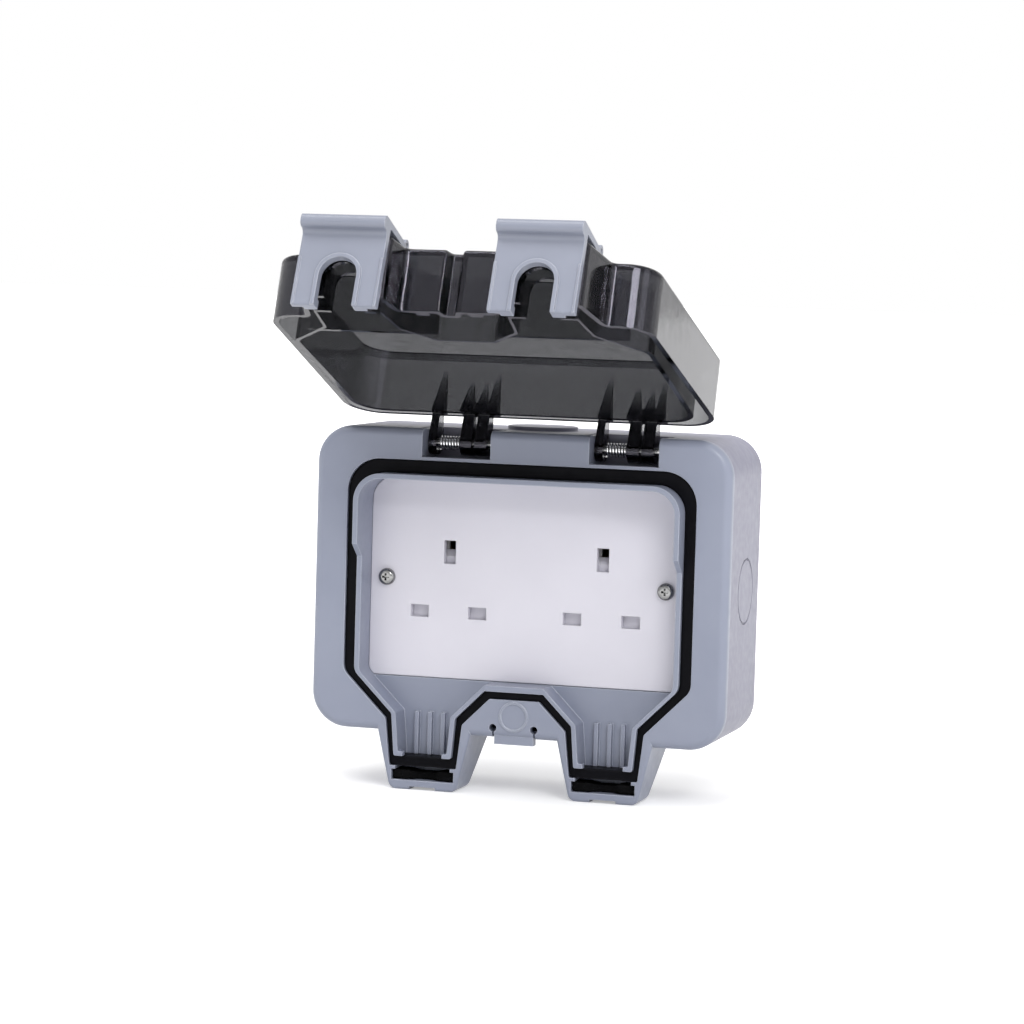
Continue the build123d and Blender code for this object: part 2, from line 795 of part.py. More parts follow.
# Shutters: a bar behind the two lower slots, with a sloped stem behind the upright one
shutter_back = deck_front + shutter_play
shutter_t = tray_depth - 2 * shutter_play
for name, side in sides.items():
    middle = side * outlet_x
    with BuildPart() as shutter:
        for wide, low, high in (
            (shutter_bar_w, shutter_bar_bottom, shutter_bar_top),
            (shutter_stem_w, shutter_bar_top - 1, shutter_stem_top),
        ):
            left = middle - wide / 2
            box_between(left, left + wide, shutter_back, shutter_back + shutter_t, low, high)
        stem_edges = shutter.edges().group_by(Axis.Z)[-1].sort_by(Axis.Y)[0]
        chamfer(stem_edges, length=shutter_t - 0.4)
    shutter.part.label = "shutter_" + name
    export_step(shutter.part, "parts/shutter_" + name + ".step")

    # Spring under the shutter, standing on the tray's lower wall
    spring_floor = base_bottom + base_wall
    spring_l = shutter_bar_bottom - spring_floor - shutter_spring_wire - 2 * seat_play
    with BuildPart() as shutter_spring:
        with BuildLine() as coil:
            Helix(
                pitch=spring_l / shutter_spring_turns,
                height=spring_l,
                radius=(shutter_spring_d - shutter_spring_wire) / 2,
                center=(
                    middle,
                    -(deck_front + plate_back) / 2,
                    spring_floor + shutter_spring_wire / 2 + seat_play,
                ),
            )
        with BuildSketch(Plane(origin=coil.line @ 0, z_dir=coil.line % 0)):
            Circle(shutter_spring_wire / 2)
        sweep(path=coil.line, is_frenet=True)
    shutter_spring.part.label = "shutter_spring_" + name
    export_step(shutter_spring.part, "parts/shutter_spring_" + name + ".step")

# Hinge pins in the bay ears, and the torsion springs wound round them
for name, left in zip(sides, bay_lefts):
    with BuildPart() as hinge_pin:
        with BuildSketch(Plane.YZ.offset(left - ear_t)):
            with Locations((-axis_depth, axis_z)):
                Circle(hinge_pin_d / 2)
        extrude(amount=bay_w + 2 * ear_t)
    hinge_pin.part.label = "hinge_pin_" + name
    export_step(hinge_pin.part, "parts/hinge_pin_" + name + ".step")

    coil_r = hinge_pin_d / 2 + 0.5 + coil_wire / 2
    with BuildPart() as lid_spring:
        with BuildLine() as coil:
            Helix(
                pitch=(coil_l - coil_wire) / coil_turns,
                height=coil_l - coil_wire,
                radius=coil_r,
                center=(left + coil_start + coil_wire / 2, -axis_depth, axis_z),
                direction=(1, 0, 0),
            )
        with BuildSketch(Plane(origin=coil.line @ 0, z_dir=coil.line % 0)):
            Circle(coil_wire / 2)
        sweep(path=coil.line, is_frenet=True)
    lid_spring.part.label = "lid_spring_" + name
    export_step(lid_spring.part, "parts/lid_spring_" + name + ".step")

# Lid, drawn shut over the frame and then turned open about the hinge axis
hinge_axis = Axis((0, -axis_depth, axis_z), (1, 0, 0))


def lid_outline(plane, inset):
    """Outline of the lid with its two leg covers and the notch between them."""
    right = [
        (lid_half, lid_top),
        (lid_free_half, lid_bottom),
        (leg_x + latch_w / 2 + lid_leg_step, lid_bottom),
        (leg_x + latch_w / 2, lid_leg_bottom),
        (leg_x - latch_w / 2, lid_leg_bottom),
        (leg_x - latch_w / 2 - 2.3, lid_mid_bottom),
        (vee_half, lid_mid_bottom),
        (vee_half / 2, lid_mid_bottom + vee_depth),
    ]
    left = [(-x, z) for x, z in reversed(right)]
    rounds = [lid_r, lid_r - 2, 2.0, 3.0, 3.0, 2.0, 0.8, 0.5]
    with BuildSketch(plane) as sketch:
        with BuildLine():
            FilletPolyline(*right, *left, radius=rounds + rounds[::-1], close=True)
        make_face()
        if inset:
            offset(amount=-inset)
    return sketch.sketch


with BuildPart() as lid_shut:
    extrude(lid_outline(front(rim_depth), 0), amount=lid_h)
    fillet(lid_shut.faces().sort_by(Axis.Y)[0].outer_wire().edges(), radius=lid_round)
    extrude(lid_outline(front(rim_depth), lid_wall), amount=lid_h - lid_plate_t, mode=Mode.SUBTRACT)
    # Sealing rib that meets the gasket, and straight walls across the channel heads
    with BuildSketch(front(seal_face + fit_gap / 2)):
        add(seal_loop(rib_high, front(seal_face + fit_gap / 2)))
        add(seal_loop(rib_low, front(seal_face + fit_gap / 2)), mode=Mode.SUBTRACT)
    extrude(amount=lid_inside - seal_face)
    for side in (-1, 1):
        left = min(side * trapezoid_half, side * (recess_half - 2.5))
        right = max(side * trapezoid_half, side * (recess_half - 2.5))
        wall_back = face_depth + lip_low + fit_gap
        low = cross_wall_z - cross_wall_t / 2
        box_between(left, right, wall_back, lid_inside + 0.5, low, low + cross_wall_t)
    # Arched cable openings in the rib and the outer wall
    for side in (-1, 1):
        with BuildSketch(Plane.XY.offset(lid_leg_bottom - 1)):
            with Locations((side * leg_x, -(rim_depth + (arch_h - cable_r) / 2 - 2))):
                Rectangle(2 * cable_r, arch_h - cable_r + 4)
            with Locations((side * leg_x, -(rim_depth + arch_h - cable_r))):
                Circle(cable_r)
        extrude(amount=channel_end - leg_lip - lid_leg_bottom, mode=Mode.SUBTRACT)
    # Half-round bosses inside the two middle panels, at the rim
    with BuildSketch(Plane.XY.offset(lid_mid_bottom + lid_wall / 2)):
        with Locations((-lid_boss_x, -rim_depth), (lid_boss_x, -rim_depth)):
            Circle(lid_boss_r)
        with Locations((0, -rim_depth + lid_boss_r)):
            Rectangle(body_w, 2 * lid_boss_r, mode=Mode.SUBTRACT)
    extrude(amount=lid_wall / 2 + lid_boss_h)
    # Hinge knuckles, and pointed fins that stiffen the wall above them
    wall_inner = lid_top - lid_wall
    for left in bay_lefts:
        for start, end in knuckle_spans:
            with BuildSketch(Plane.YZ.offset(left + start)):
                with Locations((-axis_depth, axis_z)):
                    Circle(knuckle_r)
                with BuildLine():
                    Polyline(
                        (-axis_depth - 0.6, axis_z - knuckle_r),
                        (-axis_depth, axis_z),
                        (-axis_depth - 0.8, axis_z + knuckle_r - 0.1),
                        (-rim_depth, lid_top - 0.4),
                        (-rim_depth - 4, wall_inner + 1),
                        (-rim_depth - 4, wall_inner - 3),
                        close=True,
                    )
                make_face()
            extrude(amount=end - start)
        for place, base, reach in fins:
            tip = rim_depth + reach
            with BuildPart() as fin:
                with BuildSketch(Plane.YZ.offset(left + place)):
                    Polygon(
                        (-rim_depth, wall_inner - fin_h),
                        (-rim_depth, wall_inner + fin_tip),
                        (-tip, wall_inner + fin_tip),
                        (-tip, wall_inner),
                        align=None,
                    )
                extrude(amount=base, both=True)
                with BuildSketch(Plane.XY.offset(axis_z)):
                    with Locations((left + place, -rim_depth)):
                        Polygon(
                            (-base / 2, 0),
                            (base / 2, 0),
                            (fin_tip / 2, -reach),
                            (-fin_tip / 2, -reach),
                            align=None,
                        )
                extrude(amount=2 * fin_h, both=True, mode=Mode.INTERSECT)
            add(fin.part)
    with BuildSketch(Plane.YZ):
        with Locations((-axis_depth, axis_z)):
            Circle(hinge_pin_d / 2 + hinge_play)
    extrude(amount=body_w, both=True, mode=Mode.SUBTRACT)
    # Lugs on the front for the latch pins
    for side in (-1, 1):
        for hand in (-1, 1):
            lug_left = side * leg_x + hand * (latch_w / 2 - lug_inset - lug_t / 2) - lug_t / 2
            with BuildSketch(Plane.YZ.offset(lug_left)):
                with Locations((-pivot_depth, latch_pivot_z)):
                    Circle(lug_r)
                with Locations((-(lid_inside + pivot_depth) / 2, latch_pivot_z)):
                    Rectangle(pivot_depth - lid_inside, 2 * lug_r)
            extrude(amount=lug_t)
    with BuildSketch(Plane.YZ):
        with Locations((-pivot_depth, latch_pivot_z)):
            Circle(latch_pin_d / 2 + press_play)
    extrude(amount=body_w, both=True, mode=Mode.SUBTRACT)

with BuildPart() as lid:
    add(lid_shut.part.rotate(hinge_axis, -open_angle))
lid.part.label = "lid"
export_step(lid.part, "parts/lid.step")

# Latch clips: an L over the lid's front edge, with two barbed arms under the leg
latch_axis = Axis((0, -pivot_depth, latch_pivot_z), (1, 0, 0))
for name, side in sides.items():
    middle = side * leg_x
    with BuildPart() as latch_shut:
        with BuildSketch(Plane.YZ.offset(middle - latch_w / 2)):
            with BuildLine():
                FilletPolyline(
                    (-latch_back, latch_top),
                    (-latch_inside, latch_top),
                    (-latch_inside, latch_pivot_z),
                    (-latch_front, latch_pivot_z),
                    (-latch_front, latch_top - latch_lip_drop),
                    (-latch_front + latch_lip_t, latch_top - latch_lip_drop),
                    (-latch_front + latch_lip_t, latch_low),
                    (-latch_back, latch_low),
                    radius=[0.6, 0.6, 0, 0, 2.0, 2.0, 2.2, 0.6],
                    close=True,
                )
            make_face()
            with Locations((-pivot_depth, latch_pivot_z)):
                Circle(latch_hub_r)
        extrude(amount=latch_w)
        with BuildSketch(Plane.YZ):
            with Locations((-pivot_depth, latch_pivot_z)):
                Circle(latch_pin_d / 2 + hinge_play)
        extrude(amount=body_w, both=True, mode=Mode.SUBTRACT)
        # Notches that let the lid's lugs through
        for hand in (-1, 1):
            lug_middle = middle + hand * (latch_w / 2 - lug_inset - lug_t / 2)
            left = lug_middle - lug_t / 2 - fit_gap
            right = lug_middle + lug_t / 2 + fit_gap
            low = latch_pivot_z - lug_r - 2 * fit_gap
            high = latch_pivot_z + 2 * latch_hub_r
            box_between(left, right, lid_front, latch_front + latch_hub_r, low, high, Mode.SUBTRACT)
        # Arch between the arms with a raised rim
        arch_r = latch_arch_w / 2
        for grow, mode, start, amount in (
            (arch_rim_w, Mode.ADD, latch_low, -arch_rim_h),
            (0, Mode.SUBTRACT, latch_top + 1, latch_low - latch_top - 3),
        ):
            with BuildSketch(Plane.XY.offset(start)):
                with Locations((middle, -(latch_back + latch_arch_end - arch_r) / 2)):
                    Rectangle(latch_arch_w + 2 * grow, latch_arch_end - arch_r - latch_back)
                with Locations((middle, -(latch_arch_end - arch_r))):
                    Circle(arch_r + grow)
            extrude(amount=amount, mode=mode)
        # Raised outer edge and inner barb of each arm
        for hand in (-1, 1):
            left = min(middle + hand * latch_w / 2, middle + hand * (latch_w / 2 - edge_rib_w))
            box_between(
                left, left + edge_rib_w, latch_back, latch_arch_end, latch_low - edge_rib_h, latch_low + 1
            )
            left = middle + hand * barb_x - barb_half
            right = middle + hand * barb_x + barb_half
            box_between(left, right, latch_back, barb_depth, latch_top - 1, latch_top + barb_h)
    with BuildPart() as latch:
        add(latch_shut.part.rotate(latch_axis, -latch_release).rotate(hinge_axis, -open_angle))
    latch.part.label = "latch_" + name
    export_step(latch.part, "parts/latch_" + name + ".step")

    with BuildPart() as latch_pin_shut:
        pin_half = latch_w / 2 - fit_gap
        with BuildSketch(Plane.YZ.offset(middle - pin_half)):
            with Locations((-pivot_depth, latch_pivot_z)):
                Circle(latch_pin_d / 2)
        extrude(amount=2 * pin_half)
    with BuildPart() as latch_pin:
        add(latch_pin_shut.part.rotate(hinge_axis, -open_angle))
    latch_pin.part.label = "latch_pin_" + name
    export_step(latch_pin.part, "parts/latch_pin_" + name + ".step")
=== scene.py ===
# %% [markdown]
# # An outdoor weatherproof twin socket
# The object is a grey plastic wall box with a sealed front frame, two outlets behind a white plate,
# and a smoked lid that stands open on two sprung hinges. The solids are ready, so this lesson gives
# them their light, their plastics and metals, and the small formed pieces that solids only outline.
# Everything is in metres: X runs right, Z up, and the front looks along -Y.

# %% Load the frame
import math
import bpy
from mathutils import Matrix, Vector


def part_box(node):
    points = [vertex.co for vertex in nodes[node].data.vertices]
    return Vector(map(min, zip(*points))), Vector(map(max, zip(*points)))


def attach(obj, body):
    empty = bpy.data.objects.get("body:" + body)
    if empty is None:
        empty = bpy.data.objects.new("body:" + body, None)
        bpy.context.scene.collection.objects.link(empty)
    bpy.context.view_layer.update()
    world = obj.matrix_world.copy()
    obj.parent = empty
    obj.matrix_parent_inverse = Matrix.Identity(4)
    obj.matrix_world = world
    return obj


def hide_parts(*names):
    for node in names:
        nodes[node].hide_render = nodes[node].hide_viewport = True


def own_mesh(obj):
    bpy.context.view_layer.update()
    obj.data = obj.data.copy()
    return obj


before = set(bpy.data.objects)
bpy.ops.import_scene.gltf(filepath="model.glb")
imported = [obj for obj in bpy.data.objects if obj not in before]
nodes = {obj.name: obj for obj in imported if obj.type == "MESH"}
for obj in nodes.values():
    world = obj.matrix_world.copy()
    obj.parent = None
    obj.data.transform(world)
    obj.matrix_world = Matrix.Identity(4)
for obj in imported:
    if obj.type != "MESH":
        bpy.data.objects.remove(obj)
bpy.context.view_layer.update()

bpy.ops.object.select_all(action="DESELECT")
scene = bpy.context.scene

# %% [markdown]
# ## Camera
# The picture was taken with a long lens, a little to the right of the box and slightly above its
# middle. The camera is placed by its distance and angles, and it looks straight down its own axis,
# because a lens shift would cut the object off in other views.

# %% Place the camera
image_side = 1024
focal_pixels = 3532.1
sensor_mm = 36
nearest_seen = 0.05
camera_place = Vector((0.35475, -1.28200, 0.11853))
camera_turn = [math.radians(angle) for angle in (85.91, -1.666, 16.328)]
camera_data = bpy.data.cameras.new("camera")
camera_data.sensor_width = sensor_mm
camera_data.lens = sensor_mm * focal_pixels / image_side
camera_data.clip_start = nearest_seen
camera = bpy.data.objects.new("camera", camera_data)
camera.location = camera_place
camera.rotation_euler = camera_turn
scene.collection.objects.link(camera)
scene.camera = camera
print("camera", round(camera_data.lens, 1), "mm lens")

# %% [markdown]
# ## Floor
# The box stands on its two cable legs on a white sheet. The sheet is a plain diffuse white that is
# topped up for the camera, for reflections and for what is seen through the lid. The top-up grows
# with the distance, so the sheet keeps the shadow of the legs and still runs into the white behind.

# %% Lay the sheet
floor_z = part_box("front_frame")[0].z
floor_side = 30
bpy.ops.mesh.primitive_plane_add(size=floor_side, location=(0, 0, floor_z))
floor = bpy.context.object
floor.name = "floor"
print("floor at", round(1000 * floor_z, 1), "mm")


# %% Make the sheet white
def new_material(name):
    """Start a material and hand back its node tree and main shader too."""
    material = bpy.data.materials.new(name)
    material.use_nodes = True
    tree = material.node_tree
    return material, tree, tree.nodes["Principled BSDF"]


def is_seen(tree):
    """Give 1 for rays of the camera, of a reflection or through the clear lid, and 0 for others."""
    ray = tree.nodes.new("ShaderNodeLightPath")
    seen = ray.outputs["Is Camera Ray"]
    for kind in ("Is Glossy Ray", "Is Transmission Ray"):
        either = tree.nodes.new("ShaderNodeMath")
        either.operation = "MAXIMUM"
        tree.links.new(seen, either.inputs[0])
        tree.links.new(ray.outputs[kind], either.inputs[1])
        seen = either.outputs[0]
    return seen


def smooth_fade(tree, value, start, end, low, high):
    """Fade from low, where a value is at start, to high, where it is at end."""
    fade = tree.nodes.new("ShaderNodeMapRange")
    fade.interpolation_type = "SMOOTHSTEP"
    fade.inputs["From Min"].default_value = start
    fade.inputs["From Max"].default_value = end
    fade.inputs["To Min"].default_value = low
    fade.inputs["To Max"].default_value = high
    tree.links.new(value, fade.inputs["Value"])
    return fade.outputs["Result"]


sheet, sheet_tree, sheet_shader = new_material("white_sheet")
sheet_shader.inputs["Base Color"].default_value = (0.9, 0.9, 0.9, 1)
sheet_shader.inputs["Roughness"].default_value = 0.9
sheet_shader.inputs["Specular IOR Level"].default_value = 0.06
sheet_shader.inputs["Emission Color"].default_value = (1, 1, 1, 1)
sheet_place = sheet_tree.nodes.new("ShaderNodeTexCoord")
sheet_reach = sheet_tree.nodes.new("ShaderNodeVectorMath")
sheet_reach.operation = "LENGTH"
sheet_tree.links.new(sheet_place.outputs["Object"], sheet_reach.inputs[0])
sheet_glow = smooth_fade(
    sheet_tree, sheet_reach.outputs["Value"], start=0.15, end=0.8, low=0.34, high=1.0
)
top_up = sheet_tree.nodes.new("ShaderNodeMath")
top_up.operation = "MULTIPLY"
sheet_tree.links.new(is_seen(sheet_tree), top_up.inputs[0])
sheet_tree.links.new(sheet_glow, top_up.inputs[1])
sheet_tree.links.new(top_up.outputs[0], sheet_shader.inputs["Emission Strength"])
floor.data.materials.append(sheet)
print("floor is a", sheet.name)

# %% [markdown]
# ## Light
# The picture has soft light from all sides and soft shadows under the legs, as a light tent gives.
# The world is that tent: it lights more from above than from below, and shows plain white wherever
# it is seen. A large soft lamp overhead, one at the front right and a weak one at the right shape
# the box. The front lamp stands aside, where the lid's front wall doesn't mirror it.

# %% Put up the light tent
world = bpy.data.worlds.new("light_tent")
scene.world = world
world.use_nodes = True
tent_tree = world.node_tree
tent = tent_tree.nodes["Background"]
tent.inputs["Color"].default_value = (1, 1, 1, 1)
tent_way = tent_tree.nodes.new("ShaderNodeTexCoord")
tent_height = tent_tree.nodes.new("ShaderNodeSeparateXYZ")
tent_tree.links.new(tent_way.outputs["Generated"], tent_height.inputs["Vector"])
tent_light = smooth_fade(
    tent_tree, tent_height.outputs["Z"], start=-0.1, end=0.9, low=0.26, high=0.85
)
tent_level = tent_tree.nodes.new("ShaderNodeMix")
tent_level.inputs["B"].default_value = 1.0
tent_tree.links.new(is_seen(tent_tree), tent_level.inputs["Factor"])
tent_tree.links.new(tent_light, tent_level.inputs["A"])
tent_tree.links.new(tent_level.outputs["Result"], tent.inputs["Strength"])
scene.view_settings.view_transform = "Standard"
print("tent up, view transform", scene.view_settings.view_transform)


# %% Hang the lamps
def soft_lamp(name, place, target, width, height, power):
    """Add a rectangular lamp that looks from its place to a target."""
    lamp = bpy.data.lights.new(name, "AREA")
    lamp.shape = "RECTANGLE"
    lamp.size = width
    lamp.size_y = height
    lamp.energy = power
    lamp_object = bpy.data.objects.new(name, lamp)
    lamp_object.location = place
    way = Vector(target) - Vector(place)
    lamp_object.rotation_euler = way.to_track_quat("-Z", "Y").to_euler()
    scene.collection.objects.link(lamp_object)
    print(name, power, "W")


soft_lamp(
    "front_lamp", place=(0.72, -1.15, 0.9), target=(0, 0, 0.02), width=0.6, height=0.5, power=9
)
soft_lamp("right_lamp", place=(1.3, -0.5, 0.5), target=(0, 0, 0), width=0.5, height=1.0, power=2)
soft_lamp(
    "top_lamp", place=(-0.2, -0.6, 1.5), target=(0, -0.05, 0), width=1.2, height=0.8, power=13
)


# %% [markdown]
# ## Finishes
# Every plastic here is moulded. A moulded face is never one flat colour: the pigment drifts a
# little over centimetres, the mould's spark-eroded grain breaks the gloss up below a millimetre,
# and the edges are rubbed paler; on the frame the pale edge is mostly painted highlight, for the
# light its rounded edges catch. The grain is bump, the drift is colour, and the soft edge comes
# from the Bevel node, which rounds the shading of a sharp edge without touching the solid.

# %% Patterns and blends
def pattern(tree, scale, detail, stretch=(1, 1, 1)):
    """Noise over the object's own coordinates; scale counts features per metre."""
    place = tree.nodes.new("ShaderNodeTexCoord")
    mapping = tree.nodes.new("ShaderNodeMapping")
    mapping.inputs["Scale"].default_value = stretch
    noise = tree.nodes.new("ShaderNodeTexNoise")
    noise.inputs["Scale"].default_value = scale
    noise.inputs["Detail"].default_value = detail
    tree.links.new(place.outputs["Object"], mapping.inputs["Vector"])
    tree.links.new(mapping.outputs["Vector"], noise.inputs["Vector"])
    return noise.outputs["Fac"]


noise_low, noise_high = 0.3, 0.7


def span(tree, value, low, high):
    """Stretch the middle of a noise to run from low to high."""
    band = tree.nodes.new("ShaderNodeMapRange")
    band.inputs["From Min"].default_value = noise_low
    band.inputs["From Max"].default_value = noise_high
    band.inputs["To Min"].default_value = low
    band.inputs["To Max"].default_value = high
    tree.links.new(value, band.inputs["Value"])
    return band.outputs["Result"]


def blend_colours(tree, amount, first, second):
    """Mix two colours; each may be a colour or another node's output."""
    mix = tree.nodes.new("ShaderNodeMix")
    mix.data_type = "RGBA"
    tree.links.new(amount, mix.inputs["Factor"])
    colour_a, colour_b, mixed = mix.inputs[6], mix.inputs[7], mix.outputs[2]
    for socket, colour in ((colour_a, first), (colour_b, second)):
        if isinstance(colour, tuple):
            socket.default_value = colour + (1,)
        else:
            tree.links.new(colour, socket)
    return mixed


print("noise is stretched from", noise_low, "to", noise_high)

# %% Worn and highlit edges, and grain
flat_share, sharp_share = 0.995, 0.85
edge_samples = 6


def worn_and_highlit_edges(tree, radius):
    """Return the softened normal and a mask that is bright along sharp edges."""
    soft = tree.nodes.new("ShaderNodeBevel")
    soft.samples = edge_samples
    soft.inputs["Radius"].default_value = radius
    true_face = tree.nodes.new("ShaderNodeNewGeometry")
    facing = tree.nodes.new("ShaderNodeVectorMath")
    facing.operation = "DOT_PRODUCT"
    tree.links.new(soft.outputs["Normal"], facing.inputs[0])
    tree.links.new(true_face.outputs["Normal"], facing.inputs[1])
    mask = tree.nodes.new("ShaderNodeMapRange")
    mask.inputs["From Min"].default_value = flat_share
    mask.inputs["From Max"].default_value = sharp_share
    tree.links.new(facing.outputs["Value"], mask.inputs["Value"])
    return soft.outputs["Normal"], mask.outputs["Result"]


def grain_bump(tree, height, depth, normal=None):
    """Bump from a height, over a softened normal where one is given."""
    bump = tree.nodes.new("ShaderNodeBump")
    bump.inputs["Strength"].default_value = 1.0
    bump.inputs["Distance"].default_value = depth
    tree.links.new(height, bump.inputs["Height"])
    if normal is not None:
        tree.links.new(normal, bump.inputs["Normal"])
    return bump.outputs["Normal"]


print("edges are softened with", edge_samples, "samples")


# %% Moulded plastic
def moulded_plastic(
    name, colour, drift, edge, gloss,
    shine=0.5, grain=2600, grain_depth=0.00001, edge_radius=0.0006,
):
    """Pigmented plastic: colour drifts to drift, edges pale to edge, gloss is a roughness range."""
    material, tree, shader = new_material(name)
    links = tree.links
    shader.inputs["Specular IOR Level"].default_value = shine
    soft_normal, edge_mask = worn_and_highlit_edges(tree, edge_radius)
    clouds = span(tree, pattern(tree, scale=45, detail=4), 0, 1)
    body = blend_colours(tree, clouds, colour, drift)
    # Pale edges: rubbed on every plastic, and on the frame mostly a painted highlight.
    scuffs_and_highlight = tree.nodes.new("ShaderNodeMath")
    scuffs_and_highlight.operation = "MULTIPLY"
    links.new(edge_mask, scuffs_and_highlight.inputs[0])
    links.new(span(tree, pattern(tree, scale=160, detail=3), 0.5, 1.0), scuffs_and_highlight.inputs[1])
    links.new(blend_colours(tree, scuffs_and_highlight.outputs[0], body, edge), shader.inputs["Base Color"])
    links.new(span(tree, pattern(tree, scale=320, detail=4), *gloss), shader.inputs["Roughness"])
    grain_height = pattern(tree, grain, detail=2)
    grained = grain_bump(tree, grain_height, grain_depth, soft_normal)
    links.new(grained, shader.inputs["Normal"])
    print(name, "mixed")
    return material


def dress(material, *names):
    """Give CAD nodes a finish through their material slots."""
    for name in names:
        mesh = nodes[name].data
        if not mesh.materials:
            mesh.materials.append(material)
        for index in range(len(mesh.materials)):
            mesh.materials[index] = material
    print(material.name, "on", ", ".join(names))


# %% [markdown]
# ## Grey plastics
# The wall box is a grey with a touch of violet, the frame and its clips are a bluer one from
# another mould. All have a fine satin grain. The clips are handled the most, so they are the
# glossiest. The box is the dullest, which keeps the white tent from washing its sides out.

# %% Box, frame and clips
box_plastic = moulded_plastic(
    "box_grey_plastic",
    colour=(0.262, 0.26, 0.335), drift=(0.245, 0.243, 0.315), edge=(0.38, 0.38, 0.45),
    gloss=(0.34, 0.46), shine=0.25,
)
# The frame's pale edge colour is mostly painted highlight, for the light its rounded edges catch.
frame_plastic = moulded_plastic(
    "frame_grey_plastic",
    colour=(0.275, 0.298, 0.38), drift=(0.255, 0.278, 0.36), edge=(0.60, 0.63, 0.72),
    gloss=(0.30, 0.42),
)
clip_plastic = moulded_plastic(
    "clip_grey_plastic",
    colour=(0.245, 0.262, 0.325), drift=(0.228, 0.245, 0.305), edge=(0.47, 0.49, 0.56),
    gloss=(0.28, 0.38), grain_depth=0.000006,
)
dress(box_plastic, "back_box")
dress(frame_plastic, "front_frame")
dress(clip_plastic, "latch_left", "latch_right")

# %% [markdown]
# ## White plastics
# The plate, the socket base behind it and the shutters are white urea mouldings: hard, slightly
# cool in tone. The plate has a finer grain and more gloss than the grey box. The base and the
# shutters are duller, because they are never polished, and their darker colours are painted
# shade, for their place deep in the slots.

# %% Plate, base and shutters
plate_plastic = moulded_plastic(
    "plate_white_plastic",
    colour=(0.73, 0.715, 0.785), drift=(0.705, 0.69, 0.76), edge=(0.79, 0.78, 0.84),
    gloss=(0.28, 0.36), grain=3600, grain_depth=0.000003,
)
# The base's and the shutters' darker colours are painted shade, for their place deep in the slots.
base_plastic = moulded_plastic(
    "base_white_plastic",
    colour=(0.62, 0.60, 0.62), drift=(0.57, 0.55, 0.57), edge=(0.7, 0.7, 0.7),
    gloss=(0.4, 0.55),
)
shutter_plastic = moulded_plastic(
    "shutter_white_plastic",
    colour=(0.62, 0.61, 0.67), drift=(0.58, 0.57, 0.63), edge=(0.68, 0.66, 0.65),
    gloss=(0.35, 0.5),
)
dress(plate_plastic, "faceplate")
dress(base_plastic, "socket_base")
dress(shutter_plastic, "shutter_left", "shutter_right")

# %% [markdown]
# ## Rubber and foam
# The lid gasket and the box seal are black rubber: almost without shine, with a dusty bloom that
# greys the raised places. The blocks in the leg ends are open foam, far rougher. Both soak up
# light, so their shine is set well below that of the hard plastics.

# %% Gasket rubber and cable foam
soft_shine = 0.06
gasket_rubber = moulded_plastic(
    "gasket_black_rubber",
    colour=(0.002, 0.002, 0.003), drift=(0.004, 0.004, 0.006), edge=(0.016, 0.016, 0.02),
    gloss=(0.34, 0.48), shine=soft_shine, grain=4200, edge_radius=0.0012,
)
cable_foam = moulded_plastic(
    "cable_black_foam",
    colour=(0.002, 0.002, 0.002), drift=(0.006, 0.006, 0.007), edge=(0.012, 0.012, 0.014),
    gloss=(0.75, 0.95), shine=soft_shine, grain=1500, grain_depth=0.0002,
)
dress(gasket_rubber, "lid_seal", "box_seal")

# %% [markdown]
# ## Smoked lid
# The lid is clear plastic with a dark tint. It is glass-like, so the colour belongs to the light
# that goes through: one wall looks mid grey, two look dark, and the ribs seen edge-on are almost
# black. A faint moulding flow and fine haze keep its reflections from being perfect.

# %% Smoked clear plastic
smoked_plastic, smoked_tree, smoked_shader = new_material("smoked_clear_plastic")
smoked_shader.inputs["Base Color"].default_value = (0.93, 0.93, 0.95, 1)
smoked_shader.inputs["Transmission Weight"].default_value = 1.0
smoked_shader.inputs["IOR"].default_value = 1.49
# The violet specular tint is a painted reflection colour, the cool cast of the lid's highlights.
smoked_shader.inputs["Specular Tint"].default_value = (0.86, 0.84, 1.0, 1)
smoke = smoked_tree.nodes.new("ShaderNodeVolumeAbsorption")
smoke.inputs["Color"].default_value = (0.0, 0.005, 0.02, 1)
smoke.inputs["Density"].default_value = 700
smoked_end = smoked_tree.nodes["Material Output"]
smoked_tree.links.new(smoke.outputs["Volume"], smoked_end.inputs["Volume"])
haze = span(smoked_tree, pattern(smoked_tree, scale=220, detail=4), 0.03, 0.12)
smoked_tree.links.new(haze, smoked_shader.inputs["Roughness"])
flow = pattern(smoked_tree, scale=60, detail=2, stretch=(1, 1, 0.3))
smoked_tree.links.new(grain_bump(smoked_tree, flow, 0.00003), smoked_shader.inputs["Normal"])
dress(smoked_plastic, "lid")


# %% [markdown]
# ## Metals
# Screws and pins are zinc-plated steel, the springs are bright drawn wire and the contacts are
# brass. Turned and drawn metal is streaked along its length, so the noise is stretched that way on
# the screws, pins and contacts; on the wound springs it is not stretched.

# %% Steel and brass
def plated_metal(name, colour, tarnish, gloss, stretch=(1, 1, 1), streak_depth=0.000008):
    """Metal with fine streaks in its gloss and a tarnish that gathers in patches."""
    material, tree, shader = new_material(name)
    shader.inputs["Metallic"].default_value = 1.0
    patches = span(tree, pattern(tree, scale=260, detail=4), 0, 1)
    tree.links.new(blend_colours(tree, patches, colour, tarnish), shader.inputs["Base Color"])
    streaks = pattern(tree, scale=2400, detail=3, stretch=stretch)
    tree.links.new(span(tree, streaks, *gloss), shader.inputs["Roughness"])
    tree.links.new(grain_bump(tree, streaks, streak_depth), shader.inputs["Normal"])
    return material
